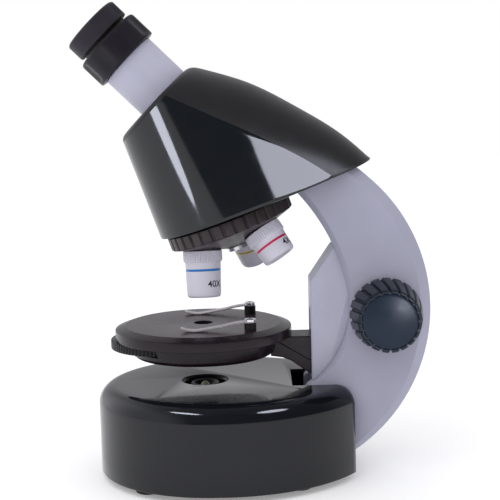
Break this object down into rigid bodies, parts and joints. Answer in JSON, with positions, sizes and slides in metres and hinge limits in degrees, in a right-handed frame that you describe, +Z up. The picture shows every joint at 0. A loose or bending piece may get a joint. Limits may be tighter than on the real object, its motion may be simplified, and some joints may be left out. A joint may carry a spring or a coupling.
{
  "type": "microscope",
  "caption": "Small compound teaching microscope with a drum base, curved arm, round focusing stage with spring clips, turning nosepiece and a slanted zoom eyepiece under a dark hood.",
  "frame": {"origin": "centre of the bounding box in X and Y, at the table the feet stand on", "axes": "+Z up, the user sits at -Y looking down the eyepiece, the arm is at +Y, X = 0 is the plane of symmetry"},
  "size_m": [0.1212, 0.1771, 0.2397],
  "materials": {
    "base_black": "satin gloss, moulded",
    "inner_black": "fine moulded texture",
    "screw_steel": "zinc plated",
    "foot_rubber": "matte",
    "cell_jacket": "printed film",
    "led_lens": "clear epoxy",
    "board_green": "solder mask",
    "grip_black": "ribbed, satin",
    "arm_silver": "satin silver paint",
    "shaft_steel": "turned",
    "brass_gear": "machined",
    "washer_white": "smooth",
    "knob_slate": "satin, ribbed",
    "knob_face": "satin gloss",
    "stage_black": "satin gloss",
    "screw_chrome": "polished",
    "clip_steel": "spring steel",
    "turret_black": "satin gloss, ribbed rim",
    "hood_black": "polished",
    "mirror_face": "silvered glass",
    "tube_silver": "satin anodised",
    "eyecup_black": "fine ribs, satin",
    "lens_glass": "polished, coated",
    "objective_silver": "satin, knurled collar"
  },
  "bodies": {
    "stand": {"base_shell": "base_black", "base_plate": "inner_black", "base_screws": "screw_steel", "rubber_feet": "foot_rubber", "battery_door": "inner_black", "battery_door_screw": "screw_steel", "battery_tray": "inner_black", "battery_cells": "cell_jacket", "battery_contacts": "screw_steel", "lamp_cup": "inner_black", "lamp_led": "led_lens", "lamp_board": "board_green", "switch_body": "inner_black", "arm_left": "arm_silver", "arm_right": "arm_silver", "arm_screws": "screw_steel", "guide_column": "arm_silver", "shaft_bushes": "brass_gear", "nosepiece_pivot": "shaft_steel", "click_spring": "clip_steel", "hood_shell": "hood_black", "hood_base": "inner_black", "fold_mirror": "mirror_face", "mirror_holder": "inner_black", "eyepiece_tube": "tube_silver"},
    "switch": {"power_switch": "grip_black"},
    "stage": {"stage_carriage": "stage_black", "stage_plate": "stage_black", "stage_pan": "stage_black", "stage_screws": "screw_steel", "clip_posts": "grip_black", "clip_screws": "screw_chrome", "diaphragm_pivot": "inner_black"},
    "clip_left_arm": {"clip_left": "clip_steel"},
    "clip_right_arm": {"clip_right": "clip_steel"},
    "diaphragm": {"diaphragm_wheel": "grip_black"},
    "focus": {"focus_shaft": "shaft_steel", "pinion": "brass_gear", "friction_washers": "washer_white", "knob_left": "knob_slate", "knob_right": "knob_slate", "knob_cap_left": "knob_face", "knob_cap_right": "knob_face"},
    "nosepiece": {"nosepiece_turret": "turret_black", "objective_4x": "objective_silver", "objective_10x": "objective_silver", "objective_40x": "objective_silver", "front_lens_4x": "lens_glass", "front_lens_10x": "lens_glass", "front_lens_40x": "lens_glass"},
    "zoom_ring": {"zoom_collar": "grip_black"},
    "eyepiece": {"draw_tube": "inner_black", "eyecup": "eyecup_black", "eye_lens": "lens_glass", "field_lens": "lens_glass"}
  },
  "joints": [
    {"name": "stage_focus", "type": "slide", "parent": "stand", "child": "stage", "axis": [0, 0, 1], "range_m": [-0.009, 0.0105]},
    {"name": "focus_knob", "type": "hinge", "parent": "stand", "child": "focus", "pos_m": [0, 0.06563, 0.0827], "axis": [1, 0, 0], "range_deg": [-85, 73]},
    {"name": "nosepiece_turn", "type": "hinge", "parent": "stand", "child": "nosepiece", "pos_m": [0, -0.02587, 0.171], "axis": [0, -0.3322, 0.9432], "continuous": true},
    {"name": "diaphragm_turn", "type": "hinge", "parent": "stage", "child": "diaphragm", "pos_m": [0, -0.04337, 0.067], "axis": [0, 0, 1], "continuous": true},
    {"name": "clip_left_swivel", "type": "hinge", "parent": "stage", "child": "clip_left_arm", "pos_m": [-0.024, -0.00187, 0.081], "axis": [0, 0, 1], "range_deg": [-35, 30]},
    {"name": "clip_right_swivel", "type": "hinge", "parent": "stage", "child": "clip_right_arm", "pos_m": [0.024, -0.00187, 0.081], "axis": [0, 0, 1], "range_deg": [-30, 35]},
    {"name": "zoom_turn", "type": "hinge", "parent": "stand", "child": "zoom_ring", "pos_m": [0, -0.06476, 0.21619], "axis": [0, -0.7071, 0.7071], "range_deg": [0, 180]},
    {"name": "eyepiece_extend", "type": "slide", "parent": "stand", "child": "eyepiece", "axis": [0, -0.7071, 0.7071], "range_m": [0, 0.008]},
    {"name": "power_switch_slide", "type": "slide", "parent": "stand", "child": "switch", "axis": [0, 1, 0], "range_m": [0, 0.004]}
  ],
  "couplings": [
    {"joint": "focus_knob", "follows": "stage_focus", "rad_per_m": -138.89},
    {"joint": "eyepiece_extend", "follows": "zoom_turn", "m_per_rad": 0.0025465}
  ]
}
